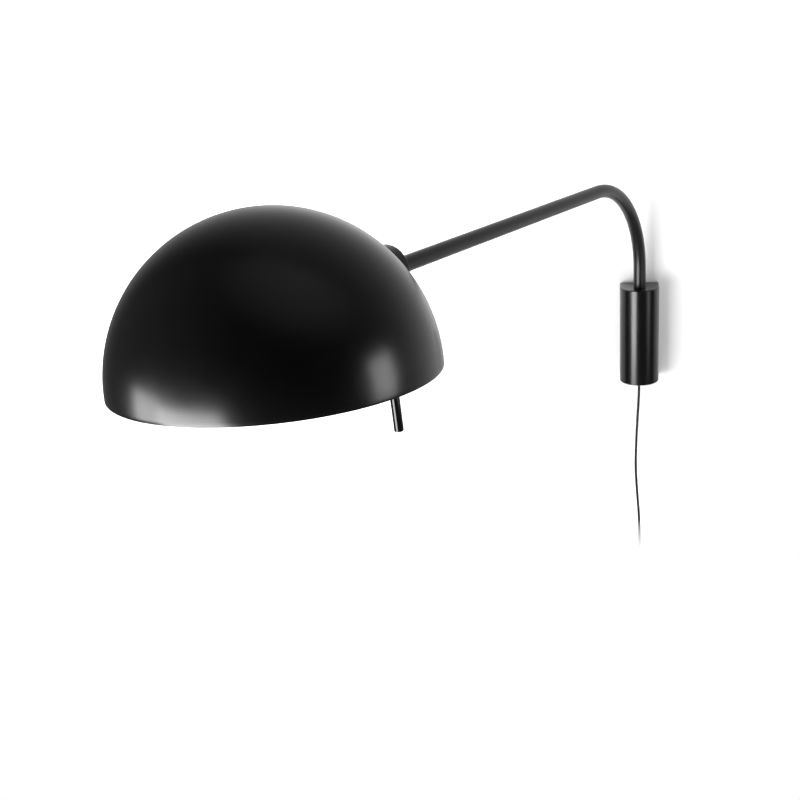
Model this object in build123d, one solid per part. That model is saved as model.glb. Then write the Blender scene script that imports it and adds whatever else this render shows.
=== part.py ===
from build123d import *
import os
from math import asin, cos, degrees, pi, radians, sin, sqrt, tan

# Swing-arm wall lamp: D-section bracket, bent tube arm, half-sphere shade on a hub, rod handle, thin lead.
# Millimetres. The wall is the plane Y = 0, the room is towards -Y, +Z is up, and the origin is the centre of
# the bracket's back. The pose is the photographed one: the arm is swung to the left, the shade nearly level.

# ---- fits and clearances -----------------------------------------------------------------------------
FIT = 0.05              # radial clearance of a seated or turning fit
THRUST_GAP = 0.05       # axial gap between two faces that turn on each other
WALL_EPS = 0.3          # gap between neighbours that only stay clear of each other
CUT = 1.0               # how far a cutting solid runs past the face that it cuts

# ---- wall bracket ------------------------------------------------------------------------------------
BRACKET_RADIUS = 25.75  # the round front
BRACKET_DEPTH = 50.75   # wall to the front of the round
BRACKET_HEIGHT = 131.0
SHELL_WALL = 2.0
CAP_THICKNESS = 3.0
CAP_CHAMFER = 1.0
CAP_LIP_HEIGHT = 3.0
CAP_LIP_WALL = 2.0
CAP_LIP_BACK = 8.0      # the lips stop this far from the wall, clear of the plate's tabs
TUBE_CAP_GAP = 0.4      # radial gap between the arm and the hole in the top cap

PLATE_THICKNESS = 3.0
PLATE_SIDE_GAP = 0.5
PLATE_END_GAP = 0.5
TAB_WIDTH = 30.0
TAB_DEPTH = 13.5        # from the wall, so that it stays clear of the upper bush's flange
TAB_THICKNESS = 2.5
WALL_HOLE_RADIUS = 2.2
WALL_HOLE_X = 36.0      # spacing of the four wall screws across
WALL_HOLE_Z = 84.0      # and up

BLOCK_WIDTH = 28.0
BLOCK_FRONT = 13.0      # how far the block stands in front of the swing axis
BLOCK_TOP_GAP = 6.5     # from the block up to the top cap, room for the bush's flange and the cap's lip
BLOCK_BOTTOM = 0.0
BLOCK_SCREW_RADIUS = 2.5
BLOCK_SCREW_LENGTH = 13.0
BLOCK_SCREW_HEAD_RADIUS = 4.6
BLOCK_SCREW_HEAD_DEPTH = 2.4
BLOCK_SCREW_END_MARGIN = 14.0

# ---- arm ---------------------------------------------------------------------------------------------
TUBE_RADIUS = 8.0
TUBE_WALL = 1.5
BEND_RADIUS = 120.0
ARM_RISE = 24.0         # from the top cap to the start of the bend
ARM_REACH = 438.7       # straight run, from the end of the bend to the hub's cross pivot
ARM_DROOP = 0.8         # degrees that the straight run falls towards the shade
ARM_FOOT_Z = -18.0
SWING_PHOTO = -26.3     # degrees from straight out of the wall in the photograph
SWING_LIMIT = 75.0      # degrees each way from straight out

BUSH_WALL = 2.0
BUSH_LENGTH = 12.0
BUSH_FLANGE = 1.5
BUSH_FLANGE_RADIUS = 12.0
BLOCK_CORE_GAP = 0.8    # radial gap round the tube between the two bushes
WASHER_THICKNESS = 1.0
WASHER_RADIUS = 11.5
COLLAR_RADIUS = 12.5
COLLAR_HEIGHT = 10.0
SECTOR_RADIUS = 18.0
SECTOR_HEIGHT = 7.0
STOP_PIN_RADIUS = 1.5
STOP_PIN_CIRCLE = 15.0
STOP_PIN_SEAT = 6.0     # length held in the block
STOP_PIN_OVERLAP = 4.5  # how far it reaches past the top of the collar's sector
STOP_SIDE_GAP = 0.1
COLLAR_SCREW_RADIUS = 2.0

# ---- lead inside the bracket -------------------------------------------------------------------------
LEAD_RADIUS = 1.7
LEAD_GAP = 0.05
TERMINAL_WIDTH = 20.0
TERMINAL_DEPTH = 17.0
TERMINAL_HEIGHT = 14.0
TERMINAL_TOP = -22.0
TERMINAL_BORE_RADIUS = 1.6
WIRE_RADIUS = 1.8
INNER_WIRE_BEND = 4.0
LEAD_RISE_SHARE = 0.38  # of the height between clamp and terminal, where the lead stays upright at each end
LEAD_BUSH_RADIUS = 4.0
LEAD_BUSH_FLANGE_RADIUS = 5.0
LEAD_BUSH_FLANGE = 1.0
CLAMP_WIDTH = 22.0
CLAMP_DEPTH = 12.0
CLAMP_HEIGHT = 8.0
CLAMP_SCREW_OFFSET = 8.0
SMALL_SCREW_RADIUS = 1.5
SMALL_HEAD_RADIUS = 2.75
SMALL_HEAD_HEIGHT = 1.8
SMALL_SOCKET = 2.0      # across the flats of the six-sided socket
SMALL_SOCKET_DEPTH = 1.0

# ---- arm end and cross pivot -------------------------------------------------------------------------
TUBE_END_GAP = 11.0     # from the tube's end to the cross pivot
END_BUSH_LENGTH = 20.0
SPINDLE_RADIUS = 4.0
SPINDLE_NUT_RADIUS = 5.5
SPINDLE_NUT_LENGTH = 5.0
SHOULDER_THICKNESS = 1.5
EYE_THICKNESS = 6.0
EYE_RADIUS = 7.0
SPINDLE_BORE_RADIUS = 1.8   # the wire's way through the spindle
WIRE_EXIT = 8.2         # from the cross pivot back to where the wire leaves the spindle upwards
PIVOT_RADIUS = 2.5
TILT_WASHER_THICKNESS = 0.8
BUSH_SCREW_RADIUS = 1.5
TILT_PHOTO = -2.35      # degrees about the cross pivot, from square to the arm
TILT_LIMIT = 28.0
ROLL_PHOTO = 2.5        # degrees about the arm, from upright
ROLL_LIMIT = 45.0

# ---- hub and shade, in the head's frame: +X from the pivot to the shade, +Z along the shade's axis ---
HUB_RADIUS = 25.0
HUB_BACK = 16.0         # from the pivot to the hub's back face
HUB_CAP_THICKNESS = 3.0
HUB_WALL = 5.0
HUB_BORE_FRONT = 8.5    # from the pivot to the bottom of the bore
HUB_CAP_ROUND = 1.5
HUB_SLOT_SIDE_GAP = 0.7
HUB_SLOT_END_GAP = 0.6
BOLT_HEAD_RADIUS = 4.5
BOLT_HEAD_HEIGHT = 3.0
BOLT_RECESS = 3.5
BOLT_SOCKET = 3.0
BOLT_SOCKET_DEPTH = 1.6
CAP_SCREW_RADIUS = 1.25
CAP_SCREW_LENGTH = 9.0

SHADE_RADIUS = 140.0
SHADE_WALL = 1.2
HUB_TO_SHADE = 20.58    # from the pivot along the hub's axis to the shade's outer face
SHADE_DROP = 58.0       # from the pivot down to the rim's plane
WIRE_HOLE_RADIUS = 4.0
SADDLE_EDGE = 4.0       # the saddle's thickness at its upper edge, where it is thinnest
SADDLE_SIDE_GAP = 1.0
HUB_SCREW_RADIUS = 2.0
HUB_SCREW_CIRCLE = 15.5
HUB_SCREW_COUNT = 3
HUB_SCREW_START = 12.0  # from the pivot to the screw's tip
HUB_HEAD_RADIUS = 3.5
HUB_HEAD_HEIGHT = 2.5
HUB_SOCKET = 2.5
HUB_SOCKET_DEPTH = 1.3

# ---- light source ------------------------------------------------------------------------------------
STRIP_WIDTH = 16.0
STRIP_THICKNESS = 2.0
STRIP_TOP = 9.0         # above the pivot
STRIP_FLANGE_BOTTOM = -16.0
STRIP_PAST_CENTRE = 25.0
BRACKET_SCREW_Y = 5.0
BRACKET_SCREW_Z = -10.5
SINK_RADIUS = 45.0
SINK_BASE = 3.0
SINK_HEIGHT = 12.0
SINK_FIN_THICKNESS = 1.6
SINK_FIN_PITCH = 6.4
SINK_FIN_COUNT = 13
BOARD_RADIUS = 32.0
BOARD_THICKNESS = 1.6
DIFFUSER_HEIGHT = 10.0
DIFFUSER_WALL = 2.0

# ---- rod and dimmer ----------------------------------------------------------------------------------
ROD_LEAN = 3.83         # degrees that the rod leans away from the shade
ROD_RADIUS = 4.75
ROD_END = 155.0         # from the pivot to the rod's lower end
ROD_END_ROUND = 1.0
HOUSING_RADIUS = 8.5
HOUSING_END = 58.0      # from the pivot
HOUSING_WALL = 2.0
SPIGOT_RADIUS = 4.0
SPIGOT_TOP = 20.6       # from the pivot, just inside the hub's bore
CORE_TOP = 29.0
CORE_LENGTH = 16.0
CORE_BORE_DEPTH = 6.0
STUB_RADIUS = 2.0
ROD_BUSH_LENGTH = 8.0
ROD_BUSH_FLANGE = 1.5
DIMMER_TURN = 270.0

# ---- free lead, its coil and its plug ----------------------------------------------------------------
LEAD_POINTS = [         # route of the hanging lead below its exit, from the photograph
    (0.0, -25.0, -84.0),
    (-2.0, -25.0, -119.0),
    (-3.9, -25.0, -161.0),
    (-4.4, -25.0, -197.0),
    (-2.2, -25.0, -231.0),
    (0.8, -25.0, -271.0),
    (2.0, -25.0, -318.0),
]
COIL_MID_RADIUS = 19.5
COIL_PITCH = 4.5        # from turn to turn and from layer to layer
COIL_TURNS = 3.0        # spiral turns in a layer, besides the half turn that climbs
COIL_LAYERS = 4
COIL_TOP_TO_ROUTE = 43.7   # from the route's last point down to the coil's first turn
COIL_END_STRAIGHT = 3.4
TAIL_LENGTH = 36.0
TIE_CLEARANCE = 0.4
TIE_WALL = 1.2
TIE_WIDTH = 6.0
SLEEVE_LENGTH = 20.0
SLEEVE_TOP_RADIUS = 2.6
SLEEVE_BASE_RADIUS = 5.0
PLUG_WIDTH = 36.0
PLUG_DEPTH = 24.0
PLUG_HEIGHT = 50.0
PLUG_ROUND = 4.0
PIN_RADIUS = 2.0
PIN_LENGTH = 19.0
PIN_SPACING = 19.0

# ---- sizes that follow -------------------------------------------------------------------------------
AXIS_Y = BRACKET_RADIUS - BRACKET_DEPTH          # the swing axis is the round front's centre
TOP_Z = BRACKET_HEIGHT / 2
BOTTOM_Z = -BRACKET_HEIGHT / 2
CAP_UNDERSIDE = TOP_Z - CAP_THICKNESS
CAP_INNER = BOTTOM_Z + CAP_THICKNESS
BLOCK_TOP = CAP_UNDERSIDE - BLOCK_TOP_GAP
PLATE_HALF_WIDTH = BRACKET_RADIUS - SHELL_WALL - PLATE_SIDE_GAP
BUSH_RADIUS = TUBE_RADIUS + FIT + BUSH_WALL
TUBE_BORE = TUBE_RADIUS - TUBE_WALL
WASHER_TOP = BLOCK_BOTTOM - BUSH_FLANGE
COLLAR_TOP = WASHER_TOP - WASHER_THICKNESS - THRUST_GAP
SECTOR_TOP = COLLAR_TOP - (COLLAR_HEIGHT - SECTOR_HEIGHT)
STOP_PIN_END = SECTOR_TOP - STOP_PIN_OVERLAP
BEND_START = TOP_Z + ARM_RISE
ARM_TURN = 90.0 + ARM_DROOP
TUBE_STRAIGHT = ARM_REACH - TUBE_END_GAP
LUG_FACE = EYE_THICKNESS / 2 + TILT_WASHER_THICKNESS + 2 * THRUST_GAP
HUB_BORE_RADIUS = HUB_RADIUS - HUB_WALL
HUB_CAP_FRONT = HUB_CAP_THICKNESS - HUB_BACK
SHADE_OUT = HUB_TO_SHADE + sqrt(SHADE_RADIUS**2 - SHADE_DROP**2)   # from the pivot to the shade's axis
SHADE_INSIDE = SHADE_RADIUS - SHADE_WALL
SADDLE_RADIUS = HUB_RADIUS - SADDLE_SIDE_GAP
SADDLE_FACE = SHADE_OUT - sqrt(SHADE_INSIDE**2 - (SHADE_DROP + SADDLE_RADIUS) ** 2) + SADDLE_EDGE
SINK_TOP = STRIP_TOP - STRIP_THICKNESS
SINK_BOTTOM = SINK_TOP - SINK_HEIGHT
ROD_BUSH_RADIUS = HOUSING_RADIUS - HOUSING_WALL
COIL_INNER = COIL_MID_RADIUS - COIL_PITCH * COIL_TURNS / 2
COIL_OUTER = COIL_MID_RADIUS + COIL_PITCH * COIL_TURNS / 2

# ---- frames ------------------------------------------------------------------------------------------
ARM_FRAME = Location((0, AXIS_Y, 0), (0, 0, -90.0 + SWING_PHOTO))   # +X out along the arm, +Z up
BEND_END = Vector(
    BEND_RADIUS * (1 - cos(radians(ARM_TURN))),
    0,
    BEND_START + BEND_RADIUS * sin(radians(ARM_TURN)),
)
ARM_OUT = Vector(sin(radians(ARM_TURN)), 0, cos(radians(ARM_TURN)))
PIVOT = BEND_END + ARM_OUT * ARM_REACH
ARM_END_FRAME = ARM_FRAME * Location(PIVOT) * Location((0, 0, 0), (0, ARM_DROOP, 0))
SWIVEL_FRAME = ARM_END_FRAME * Location((0, 0, 0), (ROLL_PHOTO, 0, 0))
HEAD_FRAME = SWIVEL_FRAME * Location((0, 0, 0), (0, TILT_PHOTO, 0))
ROD_FRAME = HEAD_FRAME * Location((0, 0, 0), (0, 180.0 + ROD_LEAN, 0))   # +Z down along the rod

PARTS = {}


def keep(name, shape, frame=None):
    """Put a sub-part in its place and keep it under its node's name."""
    PARTS[name] = shape if frame is None else shape.moved(frame)


def rod_z(radius, start, end, x=0.0, y=0.0):
    """Round bar along Z."""
    bar = Cylinder(radius, abs(end - start), align=(Align.CENTER, Align.CENTER, Align.MIN))
    return bar.moved(Location((x, y, min(start, end))))


def rod_x(radius, start, end, y=0.0, z=0.0):
    """Round bar along X."""
    return rod_z(radius, 0, end - start).moved(Location((start, y, z), (0, 90, 0)))


def rod_y(radius, start, end, x=0.0, z=0.0):
    """Round bar along Y."""
    return rod_z(radius, 0, end - start).moved(Location((x, start, z), (-90, 0, 0)))


def socket_z(across, start, end, x=0.0, y=0.0):
    """Six-sided prism along Z, as wide across its flats as given."""
    prism = extrude(RegularPolygon(across / sqrt(3), 6), amount=abs(end - start))
    return prism.moved(Location((x, y, min(start, end))))


def socket_x(across, start, end, y=0.0, z=0.0):
    """Six-sided prism along X."""
    return socket_z(across, 0, end - start).moved(Location((start, y, z), (0, 90, 0)))


def socket_y(across, start, end, x=0.0, z=0.0):
    """Six-sided prism along Y."""
    return socket_z(across, 0, end - start).moved(Location((x, start, z), (-90, 0, 0)))


def block(x0, x1, y0, y1, z0, z1):
    """Box between two corners."""
    box = Box(x1 - x0, y1 - y0, z1 - z0, align=(Align.MIN, Align.MIN, Align.MIN))
    return box.moved(Location((x0, y0, z0)))


def tube_along(path, radius):
    """Round bar swept along a path."""
    profile = Plane(path @ 0, z_dir=path % 0) * Circle(radius)
    return sweep(profile, path=path)


def fillet_radii(points):
    """Each arc is as large as its two runs allow: 0.45 of the shorter, over the tangent of half the turn."""
    radii = []
    for before, here, after in zip(points, points[1:], points[2:]):
        run_in = Vector(*here) - Vector(*before)
        run_out = Vector(*after) - Vector(*here)
        half_turn = radians(run_in.get_angle(run_out) / 2)
        radii.append(0.45 * min(run_in.length, run_out.length) / tan(half_turn))
    return radii


def d_outline(inset, back):
    """D-shaped face at Z = 0: the bracket's outline drawn in by inset, closed at Y = back."""
    radius = BRACKET_RADIUS - inset
    front = ThreePointArc((-radius, AXIS_Y), (0, AXIS_Y - radius), (radius, AXIS_Y))
    sides = Polyline((radius, AXIS_Y), (radius, back), (-radius, back), (-radius, AXIS_Y))
    return make_face(Curve() + [front, sides])


def d_prism(inset, back, bottom, top):
    """D-shaped block between two heights."""
    return extrude(Plane.XY.offset(bottom) * d_outline(inset, back), amount=top - bottom)


# ---- wall bracket ------------------------------------------------------------------------------------
def wall_hole_places():
    """The four wall screws, at the corners of a rectangle."""
    return [(sx * WALL_HOLE_X / 2, sz * WALL_HOLE_Z / 2) for sx in (-1, 1) for sz in (-1, 1)]


def block_screw_heights():
    return (BLOCK_BOTTOM + BLOCK_SCREW_END_MARGIN, BLOCK_TOP - BLOCK_SCREW_END_MARGIN)


def tab_screw_places():
    return [(side * TAB_WIDTH / 3, -(PLATE_THICKNESS + TAB_DEPTH) / 2) for side in (-1, 1)]


def make_bracket_shell():
    low = CAP_INNER
    high = CAP_UNDERSIDE
    shell = d_prism(0, 0, low, high) - d_prism(SHELL_WALL, CUT, low - CUT, high + CUT)
    keep("bracket_shell", shell)


def make_cap_lip(bottom, top):
    """U-shaped rib that locates a cap in the shell."""
    inset = SHELL_WALL + FIT
    lip = d_prism(inset, -CAP_LIP_BACK, bottom, top)
    return lip - d_prism(inset + CAP_LIP_WALL, CUT, bottom - CUT, top + CUT)


def make_caps():
    top = d_prism(0, 0, CAP_UNDERSIDE, TOP_Z)
    top = chamfer(top.faces().sort_by(Axis.Z)[-1].edges().filter_by(lambda e: e.center().Y < -1), CAP_CHAMFER)
    top += make_cap_lip(CAP_UNDERSIDE - CAP_LIP_HEIGHT, CAP_UNDERSIDE)
    top -= rod_z(TUBE_RADIUS + TUBE_CAP_GAP, CAP_UNDERSIDE - CUT, TOP_Z + CUT, 0, AXIS_Y)
    bottom = d_prism(0, 0, BOTTOM_Z, CAP_INNER)
    low_rim = bottom.faces().sort_by(Axis.Z)[0].edges().filter_by(lambda e: e.center().Y < -1)
    bottom = chamfer(low_rim, CAP_CHAMFER)
    bottom += make_cap_lip(CAP_INNER, CAP_INNER + CAP_LIP_HEIGHT)
    bottom -= rod_z(LEAD_BUSH_RADIUS + FIT, BOTTOM_Z - CUT, CAP_INNER + CUT, 0, AXIS_Y)
    for x, y in tab_screw_places():
        top -= rod_z(SMALL_SCREW_RADIUS + FIT, CAP_UNDERSIDE - CUT, TOP_Z - CAP_THICKNESS / 3, x, y)
        bottom -= rod_z(SMALL_SCREW_RADIUS + FIT, BOTTOM_Z - CUT, CAP_INNER + CUT, x, y)
        bottom -= rod_z(SMALL_HEAD_RADIUS + FIT, BOTTOM_Z - CUT, BOTTOM_Z + SMALL_HEAD_HEIGHT, x, y)
    for side in (-1, 1):
        x = side * CLAMP_SCREW_OFFSET
        bottom -= rod_z(SMALL_SCREW_RADIUS + FIT, CAP_INNER - CAP_THICKNESS / 2, CAP_INNER + CUT, x, AXIS_Y)
    keep("bracket_top_cap", top)
    keep("bracket_bottom_cap", bottom)


def make_wall_plate():
    low = CAP_INNER + CAP_LIP_HEIGHT + PLATE_END_GAP
    high = CAP_UNDERSIDE - CAP_LIP_HEIGHT - PLATE_END_GAP
    plate = block(-PLATE_HALF_WIDTH, PLATE_HALF_WIDTH, -PLATE_THICKNESS, 0, low, high)
    half = TAB_WIDTH / 2
    for near, far in ((CAP_INNER, low), (high, CAP_UNDERSIDE)):
        plate += block(-half, half, -PLATE_THICKNESS, 0, near, far)
    plate += block(-half, half, -TAB_DEPTH, 0, CAP_INNER, CAP_INNER + TAB_THICKNESS)
    plate += block(-half, half, -TAB_DEPTH, 0, CAP_UNDERSIDE - TAB_THICKNESS, CAP_UNDERSIDE)
    for x, z in wall_hole_places():
        plate -= rod_y(WALL_HOLE_RADIUS, -PLATE_THICKNESS - CUT, CUT, x, z)
    for z in block_screw_heights():
        plate -= rod_y(BLOCK_SCREW_RADIUS + FIT, -PLATE_THICKNESS - CUT, CUT, 0, z)
        plate -= rod_y(BLOCK_SCREW_HEAD_RADIUS + FIT, -BLOCK_SCREW_HEAD_DEPTH, CUT, 0, z)
    for x, y in tab_screw_places():
        plate -= rod_z(SMALL_SCREW_RADIUS + FIT, CAP_INNER - CUT, CAP_INNER + TAB_THICKNESS + CUT, x, y)
        tab_bottom = CAP_UNDERSIDE - TAB_THICKNESS
        plate -= rod_z(SMALL_SCREW_RADIUS + FIT, tab_bottom - CUT, CAP_UNDERSIDE + CUT, x, y)
    keep("wall_plate", plate)


def make_bearing_block():
    half = BLOCK_WIDTH / 2
    body = block(-half, half, AXIS_Y - BLOCK_FRONT, -PLATE_THICKNESS, BLOCK_BOTTOM, BLOCK_TOP)
    body -= rod_z(TUBE_RADIUS + BLOCK_CORE_GAP, BLOCK_BOTTOM - CUT, BLOCK_TOP + CUT, 0, AXIS_Y)
    body -= rod_z(BUSH_RADIUS + FIT, BLOCK_BOTTOM - CUT, BLOCK_BOTTOM + BUSH_LENGTH, 0, AXIS_Y)
    body -= rod_z(BUSH_RADIUS + FIT, BLOCK_TOP - BUSH_LENGTH, BLOCK_TOP + CUT, 0, AXIS_Y)
    pin_y = AXIS_Y + STOP_PIN_CIRCLE
    body -= rod_z(STOP_PIN_RADIUS + FIT, BLOCK_BOTTOM - CUT, BLOCK_BOTTOM + STOP_PIN_SEAT, 0, pin_y)
    screws = None
    for z in block_screw_heights():
        body -= rod_y(BLOCK_SCREW_RADIUS + FIT, -BLOCK_SCREW_LENGTH - THRUST_GAP, CUT - PLATE_THICKNESS, 0, z)
        screw = rod_y(BLOCK_SCREW_RADIUS, -BLOCK_SCREW_LENGTH, 0, 0, z)
        screw += rod_y(BLOCK_SCREW_HEAD_RADIUS, -BLOCK_SCREW_HEAD_DEPTH, 0, 0, z)
        screws = screw if screws is None else screws + screw
    keep("bearing_block", body)
    keep("block_screws", screws)
    pin = rod_z(STOP_PIN_RADIUS, STOP_PIN_END, BLOCK_BOTTOM + STOP_PIN_SEAT, 0, pin_y)
    keep("stop_pin", pin)


def make_bushes():
    bore = TUBE_RADIUS + FIT
    for name, flange, barrel in (
        ("upper_bush", (BLOCK_TOP, BLOCK_TOP + BUSH_FLANGE), (BLOCK_TOP - BUSH_LENGTH, BLOCK_TOP)),
        ("lower_bush", (WASHER_TOP, BLOCK_BOTTOM), (BLOCK_BOTTOM, BLOCK_BOTTOM + BUSH_LENGTH)),
    ):
        bush = rod_z(BUSH_RADIUS, *barrel, 0, AXIS_Y) + rod_z(BUSH_FLANGE_RADIUS, *flange, 0, AXIS_Y)
        bush -= rod_z(bore, min(flange[0], barrel[0]) - CUT, max(flange[1], barrel[1]) + CUT, 0, AXIS_Y)
        keep(name, bush)
    washer = rod_z(WASHER_RADIUS, WASHER_TOP - WASHER_THICKNESS, WASHER_TOP, 0, AXIS_Y)
    washer -= rod_z(bore, WASHER_TOP - WASHER_THICKNESS - CUT, WASHER_TOP + CUT, 0, AXIS_Y)
    keep("friction_washer", washer)


def make_tab_screws():
    """Two screws up through the bottom cap into its tab, two up through the top tab into the top cap."""
    screws = None
    for x, y in tab_screw_places():
        low = rod_z(SMALL_SCREW_RADIUS, BOTTOM_Z, CAP_INNER + TAB_THICKNESS, x, y)
        low += rod_z(SMALL_HEAD_RADIUS, BOTTOM_Z, BOTTOM_Z + SMALL_HEAD_HEIGHT, x, y)
        low -= socket_z(SMALL_SOCKET, BOTTOM_Z - CUT, BOTTOM_Z + SMALL_SOCKET_DEPTH, x, y)
        seat = CAP_UNDERSIDE - TAB_THICKNESS
        high = rod_z(SMALL_SCREW_RADIUS, seat, TOP_Z - CAP_THICKNESS / 3, x, y)
        head = seat - SMALL_HEAD_HEIGHT
        high += rod_z(SMALL_HEAD_RADIUS, head, seat, x, y)
        high -= socket_z(SMALL_SOCKET, head - CUT, head + SMALL_SOCKET_DEPTH, x, y)
        screws = low + high if screws is None else screws + low + high
    keep("cap_screws", screws)


def make_terminal_and_wires():
    """Terminal on the wall plate, with the lead from below and the wire up to the arm's foot."""
    front = -PLATE_THICKNESS - TERMINAL_DEPTH
    bottom = TERMINAL_TOP - TERMINAL_HEIGHT
    half = TERMINAL_WIDTH / 2
    body = block(-half, half, front, -PLATE_THICKNESS, bottom, TERMINAL_TOP)
    for x in (-half / 2, half / 2):
        bore_bottom = TERMINAL_TOP - TERMINAL_HEIGHT / 3
        body -= rod_z(TERMINAL_BORE_RADIUS, bore_bottom, TERMINAL_TOP + CUT, x, front / 2)
    keep("terminal_block", body)
    middle = (TERMINAL_TOP + bottom) / 2
    foot = ARM_FOOT_Z - WALL_EPS
    wire = FilletPolyline((0, front, middle), (0, AXIS_Y, middle), (0, AXIS_Y, foot), radius=INNER_WIRE_BEND)
    keep("bracket_wire", tube_along(wire, WIRE_RADIUS))
    lead_y = -PLATE_THICKNESS - TERMINAL_DEPTH / 2
    lead_top = CAP_INNER + CLAMP_HEIGHT
    upright = LEAD_RISE_SHARE * (bottom - lead_top)
    points = [
        (0, AXIS_Y, BOTTOM_Z),
        (0, AXIS_Y, lead_top + upright),
        (0, lead_y, bottom - upright),
        (0, lead_y, bottom),
    ]
    lead = FilletPolyline(*points, radius=min(fillet_radii(points)))
    keep("inner_lead", tube_along(lead, LEAD_RADIUS))


def make_lead_clamp():
    """Grommet in the bottom cap, and the clamp over it that takes the lead's pull."""
    flange_top = CAP_INNER + LEAD_BUSH_FLANGE
    bush = rod_z(LEAD_BUSH_RADIUS, BOTTOM_Z, CAP_INNER, 0, AXIS_Y)
    bush += rod_z(LEAD_BUSH_FLANGE_RADIUS, CAP_INNER, flange_top, 0, AXIS_Y)
    bush -= rod_z(LEAD_RADIUS + LEAD_GAP, BOTTOM_Z - CUT, flange_top + CUT, 0, AXIS_Y)
    keep("lead_bush", bush)
    top = CAP_INNER + CLAMP_HEIGHT
    clamp = block(
        -CLAMP_WIDTH / 2, CLAMP_WIDTH / 2, AXIS_Y - CLAMP_DEPTH / 2, AXIS_Y + CLAMP_DEPTH / 2, CAP_INNER, top
    )
    clamp -= rod_z(LEAD_BUSH_FLANGE_RADIUS + FIT, CAP_INNER - CUT, flange_top + FIT, 0, AXIS_Y)
    clamp -= rod_z(LEAD_RADIUS + LEAD_GAP, CAP_INNER - CUT, top + CUT, 0, AXIS_Y)
    screws = None
    for side in (-1, 1):
        x = side * CLAMP_SCREW_OFFSET
        clamp -= rod_z(SMALL_SCREW_RADIUS + FIT, CAP_INNER - CUT, top + CUT, x, AXIS_Y)
        screw = rod_z(SMALL_SCREW_RADIUS, CAP_INNER - CAP_THICKNESS / 2 + FIT, top, x, AXIS_Y)
        screw += rod_z(SMALL_HEAD_RADIUS, top, top + SMALL_HEAD_HEIGHT, x, AXIS_Y)
        head = top + SMALL_HEAD_HEIGHT
        screw -= socket_z(SMALL_SOCKET, head - SMALL_SOCKET_DEPTH, head + CUT, x, AXIS_Y)
        screws = screw if screws is None else screws + screw
    keep("lead_clamp", clamp)
    keep("clamp_screws", screws)


# ---- arm ---------------------------------------------------------------------------------------------
def arm_path(start_z, straight):
    """Centre line of the arm in the arm's frame: up, round the bend and out."""
    foot = Line((0, 0, start_z), (0, 0, BEND_START))
    half_turn = radians(ARM_TURN / 2)
    middle = (BEND_RADIUS * (1 - cos(half_turn)), 0, BEND_START + BEND_RADIUS * sin(half_turn))
    bend = ThreePointArc(foot @ 1, middle, BEND_END)
    run = Line(BEND_END, BEND_END + ARM_OUT * straight)
    return Curve() + [foot, bend, run]


def make_arm_tube():
    outer = tube_along(arm_path(ARM_FOOT_Z, TUBE_STRAIGHT), TUBE_RADIUS)
    inner = tube_along(arm_path(ARM_FOOT_Z, TUBE_STRAIGHT), TUBE_BORE)
    tube = (outer - inner).moved(ARM_FRAME)
    screw_x = -TUBE_END_GAP - END_BUSH_LENGTH / 2
    tube -= rod_z(BUSH_SCREW_RADIUS + FIT, -TUBE_RADIUS - CUT, 0, screw_x).moved(ARM_END_FRAME)
    keep("arm_tube", tube)
    wire_end = TUBE_STRAIGHT - END_BUSH_LENGTH - SPINDLE_NUT_LENGTH - 2 * THRUST_GAP - WALL_EPS
    keep("arm_wire", tube_along(arm_path(ARM_FOOT_Z, wire_end), WIRE_RADIUS), ARM_FRAME)


def make_collar():
    """Ring clamped on the arm's foot. Its wide sector runs against the stop pin at both ends of the swing."""
    bottom = COLLAR_TOP - COLLAR_HEIGHT
    ring = rod_z(COLLAR_RADIUS, bottom, COLLAR_TOP)
    pin_angle = degrees(asin((STOP_PIN_RADIUS + STOP_SIDE_GAP) / STOP_PIN_CIRCLE))
    half_angle = 180.0 - SWING_LIMIT - pin_angle
    start = Plane.XY * Rot(0, 0, -half_angle)
    sector = extrude(start * pie(SECTOR_RADIUS, 2 * half_angle), amount=SECTOR_HEIGHT)
    ring += sector.moved(Location((0, 0, bottom)))
    ring -= rod_z(TUBE_RADIUS + FIT, bottom - CUT, COLLAR_TOP + CUT)
    height = bottom + SECTOR_HEIGHT / 2
    screw = rod_x(COLLAR_SCREW_RADIUS, -COLLAR_RADIUS + FIT, -TUBE_RADIUS - FIT, 0, height)
    ring -= rod_x(COLLAR_SCREW_RADIUS + FIT, -COLLAR_RADIUS - CUT, -TUBE_RADIUS, 0, height)
    keep("retaining_collar", ring, ARM_FRAME)
    keep("collar_screw", screw, ARM_FRAME)


def pie(radius, sweep_angle):
    """Sector of a disc from angle 0 round to sweep_angle."""
    end = radians(sweep_angle)
    middle = end / 2
    arc = ThreePointArc(
        (radius, 0), (radius * cos(middle), radius * sin(middle)), (radius * cos(end), radius * sin(end))
    )
    return make_face(Curve() + [Line((0, 0), (radius, 0)), arc, Line(arc @ 1, (0, 0))])


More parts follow.
